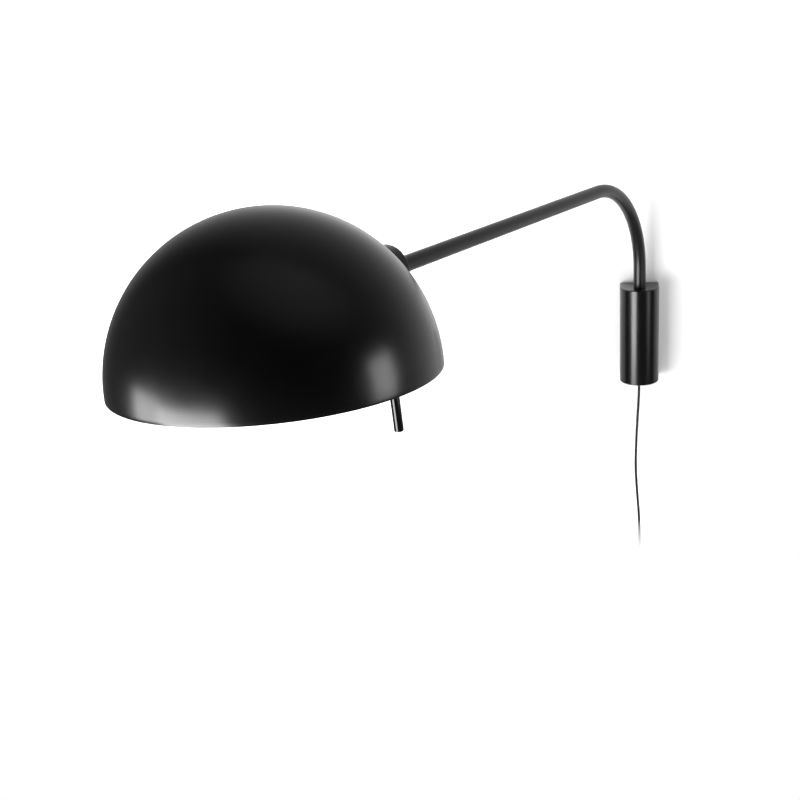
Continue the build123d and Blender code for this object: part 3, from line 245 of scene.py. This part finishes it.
def bend_point(angle):
    """The tube's middle line at an angle of its bend, in the arm's frame."""
    return Vector((bend_radius * (1 - cos(angle)), 0, bend_start + bend_radius * sin(angle)))


def close_tube_ends(mesh, crisp_deg=40):
    """Bridge the outer and the inner rim at each end of a tube with two skins."""
    work = bmesh.new()
    work.from_mesh(mesh)
    loose = [edge for edge in work.edges if edge.is_boundary]
    rims = []
    while loose:
        rim, queue = [], [loose.pop()]
        while queue:
            edge = queue.pop()
            rim.append(edge)
            for near in [e for v in edge.verts for e in v.link_edges]:
                if near in loose:
                    loose.remove(near)
                    queue.append(near)
        middle = sum((v.co for e in rim for v in e.verts), Vector()) / (2 * len(rim))
        rims.append((middle, rim))
    while rims:
        middle, rim = rims.pop()
        partner = min(rims, key=lambda item: (item[0] - middle).length)
        rims.remove(partner)
        bmesh.ops.bridge_loops(work, edges=rim + partner[1])
    bmesh.ops.recalc_face_normals(work, faces=work.faces)
    work.to_mesh(mesh)
    work.free()
    mesh.set_sharp_from_angle(angle=radians(crisp_deg))


tube_tree = bpy.data.node_groups.new("round_tube_on_path", "GeometryNodeTree")
tube_tree.interface.new_socket("Geometry", in_out="INPUT", socket_type="NodeSocketGeometry")
for socket_name in ("Outer Radius", "Wall"):
    tube_tree.interface.new_socket(socket_name, in_out="INPUT", socket_type="NodeSocketFloat")
tube_tree.interface.new_socket("Material", in_out="INPUT", socket_type="NodeSocketMaterial")
tube_tree.interface.new_socket("Geometry", in_out="OUTPUT", socket_type="NodeSocketGeometry")
tube_in = add(tube_tree, "NodeGroupInput")
bore_radius = add(
    tube_tree,
    "ShaderNodeMath",
    {"operation": "SUBTRACT"},
    i0=tube_in.outputs["Outer Radius"],
    i1=tube_in.outputs["Wall"],
)
walls = add(tube_tree, "GeometryNodeJoinGeometry")
for radius, turned in ((tube_in.outputs["Outer Radius"], False), (bore_radius.outputs[0], True)):
    ring = add(tube_tree, "GeometryNodeCurvePrimitiveCircle", Resolution=tube_sides, Radius=radius)
    skin = add(
        tube_tree,
        "GeometryNodeCurveToMesh",
        Curve=tube_in.outputs["Geometry"],
        Profile_Curve=ring.outputs["Curve"],
    ).outputs["Mesh"]
    if turned:
        skin = add(tube_tree, "GeometryNodeFlipFaces", Mesh=skin).outputs["Mesh"]
    tube_tree.links.new(skin, walls.inputs["Geometry"])
whole = add(tube_tree, "GeometryNodeRealizeInstances", Geometry=walls.outputs["Geometry"])
rounded = add(tube_tree, "GeometryNodeSetShadeSmooth", {"domain": "FACE"}, Geometry=whole.outputs["Geometry"])
rounded.inputs["Shade Smooth"].default_value = True
coated = add(
    tube_tree,
    "GeometryNodeSetMaterial",
    Geometry=rounded.outputs["Geometry"],
    Material=tube_in.outputs["Material"],
)
add(tube_tree, "NodeGroupOutput", Geometry=coated.outputs["Geometry"])

bend_end = bend_point(bend_angle)
arm_out = Vector((sin(bend_angle), 0, cos(bend_angle)))
arm_points = [Vector((0, 0, tube_foot)), Vector((0, 0, upright_point))]
arm_points += [bend_point(bend_angle * i / bend_steps) for i in range(bend_steps + 1)]
arm_points += [bend_end + arm_out * (reach * share) for share in (0.3, 0.6, 0.9)]
arm_points.append(bend_end + arm_out * (reach - tube_end_gap))
arm_line = line_object("arm_line", [arm_frame @ point for point in arm_points])
tube_modifier = arm_line.modifiers.new("tube", "NODES")
tube_modifier.node_group = tube_tree
tube_inputs = {"Outer Radius": tube_radius, "Wall": tube_wall, "Material": tube_coat_painted_lighter}
for item in tube_tree.interface.items_tree:
    if item.name in tube_inputs:
        tube_modifier[item.identifier] = tube_inputs[item.name]
arm = plain_mesh(arm_line, "arm_tube_coated", tube_coat_painted_lighter)
close_tube_ends(arm.data)
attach(arm, "arm")
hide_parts("arm_tube")
paint(grey_pvc, "arm_wire")
paint(acetal, "arm_end_bush")
paint(zinc_steel, "bush_screw", "swivel_spindle", "spindle_nut")


# ---- hub ----------------------------------------------------------------------------------------------
# A round boss, powder coated, that follows the shade at its front and is closed by a slotted disc at its
# back. The disc's edge is rounded. A steel bolt through boss and spindle is the pivot that it tilts on.
pivot = bend_end + arm_out * reach
head_roll_deg = 2.5
head_tilt_deg = -2.35
arm_end_frame = arm_frame @ Matrix.Translation(pivot) @ Matrix.Rotation(radians(droop_deg), 4, "Y")
head_turn = Matrix.Rotation(radians(head_roll_deg), 4, "X") @ Matrix.Rotation(radians(head_tilt_deg), 4, "Y")
head_frame = arm_end_frame @ head_turn
paint(powder_coat, "hub_body", "hub_cap")
paint(zinc_steel, "hub_cap_screws", "tilt_bolt", "tilt_nut", "hub_screws")
paint(acetal, "tilt_washers")
paint(grey_pvc, "hub_wire")


# ---- shade --------------------------------------------------------------------------------------------
# A half sphere spun from 1.2 mm steel sheet. The rim is trimmed square and its burr rolled off, the outside
# is powder coated in black and the inside enamelled in white.
shade_radius = 140 * mm
shade_wall = 1.2 * mm
shade_centre = Vector((148 * mm, 0, -58 * mm))
shade_rings = 56
rim_round = 0.35 * mm
rim_corner = 0.3 * rim_round
# White stove enamel on the inside of the shade, which throws the light down.
white_enamel = finish("white_stove_enamel", "#d2d1cc", 0.42, grain_mm=0.9, grain_depth=0.006, worn=0.03)


def lathe(name, outline, frame_matrix, materials, sides, crisp_deg=35):
    """Turn an outline of (radius, height, material number) about the frame's Z axis."""
    on_axis = 1e-7
    mesh = bpy.data.meshes.new(name)
    work = bmesh.new()
    rings = []
    for radius, height, _ in outline:
        if radius < on_axis:
            rings.append([work.verts.new((0, 0, height))] * sides)
            continue
        angles = [2 * pi * k / sides for k in range(sides)]
        rings.append([work.verts.new((radius * cos(angle), radius * sin(angle), height)) for angle in angles])
    for i in range(len(rings) - 1):
        low, high = rings[i], rings[i + 1]
        for k in range(sides):
            nxt = (k + 1) % sides
            corners = [low[k], low[nxt], high[nxt], high[k]]
            unique = [v for n, v in enumerate(corners) if v not in corners[:n]]
            if len(unique) > 2:
                face = work.faces.new(unique)
                face.material_index = outline[i][2]
                face.smooth = True
    bmesh.ops.remove_doubles(work, verts=work.verts, dist=on_axis)
    bmesh.ops.recalc_face_normals(work, faces=work.faces)
    work.transform(frame_matrix)
    work.to_mesh(mesh)
    work.free()
    mesh.set_sharp_from_angle(angle=radians(crisp_deg))
    for material in materials:
        mesh.materials.append(material)
    obj = bpy.data.objects.new(name, mesh)
    bpy.context.scene.collection.objects.link(obj)
    return obj


outside, inside = 0, 1
shade_outline = []
for i in range(shade_rings):
    angle = pi / 2 * (1 - i / shade_rings)
    shade_outline.append((shade_radius * cos(angle), shade_radius * sin(angle), outside))
shade_outline.append((shade_radius, rim_round, outside))
shade_outline.append((shade_radius - rim_corner, rim_corner, outside))
shade_outline.append((shade_radius - rim_round, 0.0, outside))
shade_outline.append((shade_radius - shade_wall + rim_round, 0.0, inside))
inner_radius = shade_radius - shade_wall
shade_outline.append((inner_radius, rim_round, inside))
for i in range(1, shade_rings + 1):
    angle = pi / 2 * i / shade_rings
    shade_outline.append((inner_radius * cos(angle), inner_radius * sin(angle), inside))
shade_frame = head_frame @ Matrix.Translation(shade_centre)
shade = lathe("shade_spun", shade_outline, shade_frame, [powder_coat, white_enamel], sides=160)
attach(shade, "head")
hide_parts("shade")


# ---- light source -------------------------------------------------------------------------------------
# A cast saddle clamps the shade to the hub with three screws. A steel strip from it carries the light to the
# middle of the dome: a finned aluminium sink, a round white board and an opal cover.

# White solder mask on the light board.
solder_mask = finish("white_solder_mask", "#e6e6df", 0.35, grain_mm=0.5, grain_depth=0.004)
# Opal acrylic cover: milk white, with a glossy skin.
opal_acrylic = finish("opal_acrylic", "#f1f0ea", 0.28, grain_mm=1.2, grain_depth=0.003)
paint(cast_aluminium, "saddle_plate", "heat_sink")
paint(zinc_steel, "led_bracket", "bracket_screws", "sink_screw")
paint(solder_mask, "led_board")
paint(opal_acrylic, "diffuser")


# ---- rod and dimmer -----------------------------------------------------------------------------------
# The handle below the hub: a turned and polished black rod whose lower end is rounded. Its thin stub turns
# the dimmer in the housing above it, and runs there in a flanged bush.
rod_lean_deg = 3.83
rod_radius = 4.75 * mm
rod_top = 45.05 * mm
rod_middle = 100 * mm
rod_end = 155 * mm
rod_top_round = 0.3 * mm
rod_end_round = 1 * mm
rod_end_steps = 8
stub_radius = 2.0 * mm
stub_top = 39.1 * mm
# Turned acrylic rod, black through and through, polished, with no grain that the eye finds.
black_acrylic = finish("polished_black_acrylic", "#060606", 0.1, grain_mm=2.0, grain_depth=0.002, worn=0.02)
# Polycarbonate with a spark-eroded texture, grains about 0.25 mm.
textured_case = finish("spark_eroded_black_polycarbonate", "#101011", 0.55, grain_mm=0.25, grain_depth=0.03)

rod_outline = [(0.0, stub_top, outside), (stub_radius, stub_top, outside), (stub_radius, rod_top, outside)]
rod_outline.append((rod_radius - rod_top_round, rod_top, outside))
rod_outline.append((rod_radius, rod_top + rod_top_round, outside))
rod_outline.append((rod_radius, rod_middle, outside))
for i in range(rod_end_steps + 1):
    angle = pi / 2 * i / rod_end_steps
    radius = rod_radius - rod_end_round + rod_end_round * cos(angle)
    rod_outline.append((radius, rod_end - rod_end_round + rod_end_round * sin(angle), outside))
rod_outline.append((0.0, rod_end, outside))
rod_frame = head_frame @ Matrix.Rotation(radians(180 + rod_lean_deg), 4, "Y")
rod = lathe("rod_polished", rod_outline, rod_frame, [black_acrylic], sides=64)
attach(rod, "rod")
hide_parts("dimmer_rod")
paint(powder_coat, "dimmer_housing")
paint(textured_case, "dimmer_core")
paint(acetal, "rod_bush")


# ---- lead and plug ------------------------------------------------------------------------------------
# A thin two-core PVC lead. It hangs from the bracket in a slight curve that its own set gives it, what is
# left of it is wound up in a tied coil further down, and its tail ends in the plug.
lead_radius = 1.7 * mm

# The route and the coil are in millimetres.
route = [(0.0, -25.0, -65.5), (0.0, -25.0, -84.0), (-2.0, -25.0, -119.0), (-3.9, -25.0, -161.0)]
route += [(-4.4, -25.0, -197.0), (-2.2, -25.0, -231.0), (0.8, -25.0, -271.0), (2.0, -25.0, -318.0)]
route += [(2.0, -25.0, -352.0)]
coil_centre = Vector((-24.25, -25.0, -365.1))
coil_pitch = 4.5
coil_turns = 3.0
climb_turns = 0.5
coil_layers = 4
coil_inner = 12.75
coil_outer = 26.25
points_per_turn = 14
layer_turns = coil_turns + climb_turns
# The lead runs inside its points by this share, so they stand that much further out.
corner_out = 1 / cos(pi / points_per_turn)
for k in range(round(coil_layers * layer_turns * points_per_turn) + 1):
    wound_turns = k / points_per_turn
    layer = min(int(wound_turns / layer_turns), coil_layers - 1)
    into = wound_turns - layer * layer_turns
    last = layer == coil_layers - 1
    spiral = into if last else min(into, coil_turns)
    radius = coil_outer - coil_pitch * spiral if layer % 2 == 0 else coil_inner + coil_pitch * spiral
    climb = 0.0 if last else max(0.0, into - coil_turns) / climb_turns
    depth = coil_pitch * (layer + (1 - cos(pi * climb)) / 2)
    angle = -2 * pi * wound_turns
    radius = radius * corner_out
    route.append(coil_centre + Vector((radius * cos(angle), depth, radius * sin(angle))))
tail_x = coil_centre.x + coil_outer + coil_pitch / 2
tail_y = coil_centre.y + coil_pitch * (coil_layers - 1)
route += [(tail_x, tail_y, -372.0), (tail_x, tail_y, -390.0), (tail_x, tail_y, -404.5)]
lead_data = bpy.data.curves.new("lead_flex", "CURVE")
lead_data.dimensions = "3D"
lead_data.bevel_depth = lead_radius
lead_data.bevel_resolution = 4
lead_data.resolution_u = 6
lead_data.use_fill_caps = True
lead_spline = lead_data.splines.new("NURBS")
lead_spline.points.add(len(route) - 1)
for point, place in zip(lead_spline.points, route):
    point.co = (place[0] * mm, place[1] * mm, place[2] * mm, 1.0)
lead_spline.order_u = 3
lead_spline.use_endpoint_u = True
lead_data.materials.append(soft_pvc)
lead = bpy.data.objects.new("lead_flex", lead_data)
bpy.context.scene.collection.objects.link(lead)
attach(lead, "bracket")
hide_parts("lead", "lead_coil", "lead_tail")
# Drawn brass pins.
brass_pin = finish(
    "drawn_brass", "#c9a860", 0.26, metallic=1.0, grain_mm=0.5, grain_depth=0.004, patch_mm=8.0
)
paint(soft_pvc, "lead_tie", "plug_sleeve")
paint(textured_case, "plug_body")
paint(brass_pin, "plug_pins")


# ---- room ---------------------------------------------------------------------------------------------
# A white wall behind the bracket and a pale floor far below. Neither is part of the lamp: how bright they
# look, and how bright the lamp's gloss shows them, was fitted to the photograph's shadow and highlights.
white = (1, 1, 1, 1)


def slab(name, corners, material):
    """One flat face of the room, which isn't part of the lamp."""
    mesh = bpy.data.meshes.new(name)
    mesh.from_pydata(corners, [], [tuple(range(len(corners)))])
    mesh.materials.append(material)
    obj = bpy.data.objects.new(name, mesh)
    bpy.context.scene.collection.objects.link(obj)
    return obj


def halo(tree, place, middle, reach, near, far):
    """A value that is near at the middle and goes over to far around it, half of the way at reach."""
    away = add(tree, "ShaderNodeVectorMath", {"operation": "DISTANCE"}, i0=place, i1=middle).outputs["Value"]
    spread = add(tree, "ShaderNodeMath", {"operation": "DIVIDE"}, i0=away, i1=reach).outputs[0]
    squared = add(tree, "ShaderNodeMath", {"operation": "MULTIPLY"}, i0=spread, i1=spread).outputs[0]
    divisor = add(tree, "ShaderNodeMath", {"operation": "ADD"}, i0=squared, i1=1.0).outputs[0]
    share = add(tree, "ShaderNodeMath", {"operation": "DIVIDE"}, i0=near - far, i1=divisor).outputs[0]
    return add(tree, "ShaderNodeMath", {"operation": "ADD"}, i0=share, i1=far).outputs[0]


def room_white(name, near_glow, far_glow, paint_share, gloss_peak):
    """White paint with a painted glow. Close to the bracket the glow is low, so the lamp's shadow shows there
    with some painted shade, and away from it the glow makes it read as white. The lamp's gloss sees painted
    patches of light in it."""
    material = bpy.data.materials.new(name)
    material.use_nodes = True
    tree = material.node_tree
    tree.nodes.clear()
    place = add(tree, "ShaderNodeTexCoord").outputs["Object"]

    # What the camera and soft light see: matt paint with a painted glow that is weakest at the bracket, so
    # the wall stays
    # darker beside and under it: partly the lamp's real shadow, partly painted shade.
    glow_level = halo(tree, place, middle=(0.05, 0.0, -0.02), reach=0.35, near=near_glow, far=far_glow)
    glow = add(tree, "ShaderNodeEmission", Color=white, Strength=glow_level)
    matt = add(tree, "ShaderNodeBsdfDiffuse", Color=(paint_share, paint_share, paint_share, 1))
    lit_paint = add(tree, "ShaderNodeAddShader", i0=glow.outputs[0], i1=matt.outputs[0])

    # What gloss sees is painted light: a broad patch that is wider than high, a spot behind the shade, and
    # less at the left.
    wider_than_high = (0.85, 0.0, 1.8)
    squeezed = add(tree, "ShaderNodeVectorMath", {"operation": "MULTIPLY"}, i0=place, i1=wider_than_high)
    broad = halo(
        tree,
        squeezed.outputs["Vector"],
        middle=(0.1, 0.0, 0.09),
        reach=0.75,
        near=gloss_peak,
        far=0.17 * gloss_peak,
    )
    spot = halo(tree, place, middle=(-0.34, 0.0, 0.27), reach=0.28, near=1.25 * gloss_peak, far=0.0)
    patches = add(tree, "ShaderNodeMath", {"operation": "ADD"}, i0=broad, i1=spot).outputs[0]
    dim_x, full_x, dim_share = -1.25, -0.5, 0.35
    sideways = add(tree, "ShaderNodeSeparateXYZ", Vector=place).outputs["X"]
    across = add(
        tree, "ShaderNodeMapRange", i0=sideways, i1=dim_x, i2=full_x, i3=dim_share, i4=1.0
    ).outputs["Result"]
    gloss_level = add(tree, "ShaderNodeMath", {"operation": "MULTIPLY"}, i0=patches, i1=across).outputs[0]
    in_gloss = add(tree, "ShaderNodeEmission", Color=white, Strength=gloss_level)

    # Close behind the arm's upright gloss sees the real paint, and further away it sees the painted patches
    # of light.
    behind_upright = (0.0, 0.0, 0.1)
    paint_within, patches_beyond = 0.04, 0.16
    away = add(tree, "ShaderNodeVectorMath", {"operation": "DISTANCE"}, i0=place, i1=behind_upright)
    far_share = add(
        tree,
        "ShaderNodeMapRange",
        i0=away.outputs["Value"],
        i1=paint_within,
        i2=patches_beyond,
        i3=0.0,
        i4=1.0,
    ).outputs["Result"]
    path = add(tree, "ShaderNodeLightPath")
    gloss_share = add(
        tree, "ShaderNodeMath", {"operation": "MULTIPLY"}, i0=path.outputs["Is Glossy Ray"], i1=far_share
    ).outputs[0]
    paint_or_gloss = add(
        tree, "ShaderNodeMixShader", i0=gloss_share, i1=lit_paint.outputs[0], i2=in_gloss.outputs[0]
    )

    # From behind it is clear, so that the lamp can be looked at from the wall's side and from below.
    clear = add(tree, "ShaderNodeBsdfTransparent")
    side = add(tree, "ShaderNodeNewGeometry")
    one_sided = add(
        tree,
        "ShaderNodeMixShader",
        i0=side.outputs["Backfacing"],
        i1=paint_or_gloss.outputs[0],
        i2=clear.outputs[0],
    )
    add(tree, "ShaderNodeOutputMaterial", Surface=one_sided.outputs[0])
    return material


wall_y = 0.0005
wall_left, wall_right, wall_top = -2, 6, 5
floor_z = -1.2
floor_reach = 6
wall_outline = [(wall_left, floor_z), (wall_right, floor_z), (wall_right, wall_top), (wall_left, wall_top)]
floor_outline = [(-floor_reach, -floor_reach), (floor_reach, -floor_reach)]
floor_outline += [(floor_reach, wall_y), (-floor_reach, wall_y)]
wall_white = room_white("white_wall_paint_with_painted_glow", near_glow=0.0, far_glow=0.95, paint_share=0.9, gloss_peak=0.64)
slab("wall", [(x, wall_y, z) for x, z in wall_outline], wall_white)
floor_white = room_white("pale_floor", near_glow=0.5, far_glow=0.7, paint_share=0.7, gloss_peak=0.3)
slab("floor", [(x, y, floor_z) for x, y in floor_outline], floor_white)

# A white card stands in front of the lead's lower end, where the photograph fades to white. Only the camera
# sees it.
card_y = -0.05
card_top = -0.264
card_fade = 0.042
card_bottom = -1.0
card_left, card_right = -1.3, 0.7
card_material = bpy.data.materials.new("white_card")
card_material.use_nodes = True
card_tree = card_material.node_tree
card_tree.nodes.clear()
card_place = add(card_tree, "ShaderNodeTexCoord").outputs["Object"]
card_height = add(card_tree, "ShaderNodeSeparateXYZ", Vector=card_place).outputs["Z"]
fade_end = card_top - card_fade
fade = add(card_tree, "ShaderNodeMapRange", i0=card_height, i1=card_top, i2=fade_end, i3=0.0, i4=1.0)
card_glow = add(card_tree, "ShaderNodeEmission", Color=white, Strength=1.0)
card_clear = add(card_tree, "ShaderNodeBsdfTransparent")
card_mix = add(
    card_tree,
    "ShaderNodeMixShader",
    i0=fade.outputs["Result"],
    i1=card_clear.outputs[0],
    i2=card_glow.outputs[0],
)
add(card_tree, "ShaderNodeOutputMaterial", Surface=card_mix.outputs[0])
card_outline = [(card_left, card_bottom), (card_right, card_bottom)]
card_outline += [(card_right, card_top), (card_left, card_top)]
card = slab("card", [(x, card_y, z) for x, z in card_outline], card_material)
for ray in ("visible_shadow", "visible_diffuse", "visible_glossy", "visible_transmission"):
    setattr(card, ray, False)


# ---- light --------------------------------------------------------------------------------------------
# Two soft boxes at the left stand for the bright patch on the dome and its dim edge, and a low one for the
# stripe that the bracket, the arm and the rod show. A narrow strip with a dimmer foot lights the dome's right
# side, and a fill above lights the wall but leaves no highlight.
def soft_box(name, place, aim, width, height, power, in_gloss=True):
    """A flat light of so many metres and watts at a place, turned to its aim. The gloss may leave it out."""
    data = bpy.data.lights.new(name, "AREA")
    data.shape = "RECTANGLE"
    data.size = width
    data.size_y = height
    data.energy = power
    lamp = bpy.data.objects.new(name, data)
    bpy.context.scene.collection.objects.link(lamp)
    away = (Vector(place) - Vector(aim)).normalized()
    side = Vector((0, 0, 1)).cross(away).normalized()
    turn = Matrix((side, away.cross(side), away)).transposed().to_4x4()
    lamp.matrix_world = Matrix.Translation(place) @ turn
    lamp.visible_glossy = in_gloss


dome = head_frame @ shade_centre
dome_front = (-0.36, -0.7, 0.13)
bracket_front = (-0.1, -0.3, -0.02)
strip_place = dome + Vector((1.19, -0.075, 0.025))
foot_place = dome + Vector((1.19, -0.075, -0.315))
soft_box("low_left_box", (-0.935, -1.445, -0.15), dome_front, width=0.81, height=0.42, power=13.8)
soft_box("far_left_box", (-1.28, -1.03, -0.04), dome_front, width=0.42, height=0.34, power=3.4)
soft_box("floor_left_box", (-0.92, -1.42, -0.48), bracket_front, width=0.8, height=0.26, power=8.6)
soft_box("right_strip", strip_place, dome, width=0.36, height=0.41, power=2.5)
soft_box("right_strip_foot", foot_place, dome, width=0.36, height=0.27, power=0.76)
soft_box("top_fill", (0.2, -1.6, 2.2), (0, -0.2, 0), width=2.0, height=1.2, power=10.6, in_gloss=False)

# The studio round it is dark, a little lighter overhead and towards the left. The camera sees white there.
world = bpy.data.worlds.new("studio")
bpy.context.scene.world = world
world.use_nodes = True
world_tree = world.node_tree
world_tree.nodes.clear()
direction = add(world_tree, "ShaderNodeTexCoord").outputs["Generated"]


def lighter_towards(way, start, darkest, brightest):
    """A level that rises from the darkest to the brightest as a direction turns towards a way."""
    turned = add(
        world_tree, "ShaderNodeVectorMath", {"operation": "DOT_PRODUCT"}, i0=direction, i1=way
    ).outputs["Value"]
    return add(
        world_tree, "ShaderNodeMapRange", i0=turned, i1=start, i2=1.0, i3=darkest, i4=brightest
    ).outputs["Result"]


overhead = lighter_towards((0.34, 0.0, 0.94), start=0.7, darkest=0.002, brightest=0.3)
leftward = lighter_towards((-0.94, 0.0, 0.34), start=0.3, darkest=0.0, brightest=0.1)
studio_glow = add(world_tree, "ShaderNodeMath", {"operation": "ADD"}, i0=overhead, i1=leftward).outputs[0]
world_path = add(world_tree, "ShaderNodeLightPath")
dim_studio = add(world_tree, "ShaderNodeBackground", Color=white, Strength=studio_glow)
white_studio = add(world_tree, "ShaderNodeBackground", Color=white, Strength=1.0)
surround = add(
    world_tree,
    "ShaderNodeMixShader",
    i0=world_path.outputs["Is Camera Ray"],
    i1=dim_studio.outputs[0],
    i2=white_studio.outputs[0],
)
add(world_tree, "ShaderNodeOutputWorld", Surface=surround.outputs[0])
